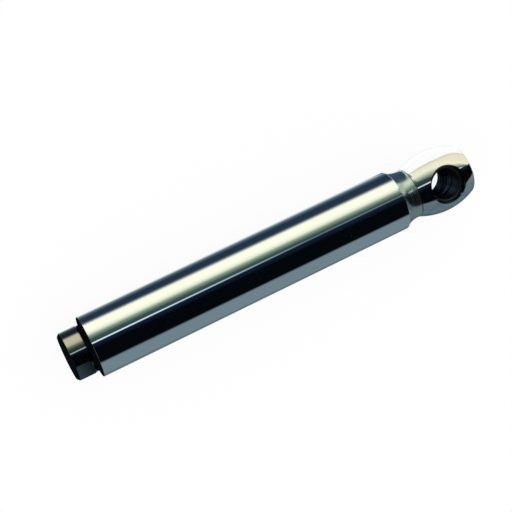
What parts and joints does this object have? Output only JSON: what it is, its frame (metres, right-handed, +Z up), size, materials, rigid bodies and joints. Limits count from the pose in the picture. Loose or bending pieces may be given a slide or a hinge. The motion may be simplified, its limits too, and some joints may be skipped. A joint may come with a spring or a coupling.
{
  "type": "tractor lift shaft",
  "caption": "Ground and chromed lift shaft with a stepped spigot at one end and a welded, bushed barrel eye at the other.",
  "frame": {"origin": "middle of the eye: where the shaft's axis crosses the axis of the eye's bore", "axes": "+X along the shaft, from the spigot to the eye; +Z up, along the eye's bore, with the shaft lying flat; +Y across"},
  "size_m": [0.356, 0.0524, 0.05],
  "materials": {
    "hard_chrome": "ground and hard-chromed, with faint circumferential lines",
    "turned_weld": "weld metal turned to a satin finish",
    "turned_steel": "fine-turned bare steel",
    "bush_steel": "dark hardened steel with boring marks"
  },
  "bodies": {
    "root": {"rod": "hard_chrome", "weld_collar": "turned_weld", "eye_head": "turned_steel", "eye_bush": "bush_steel"}
  },
  "joints": []
}
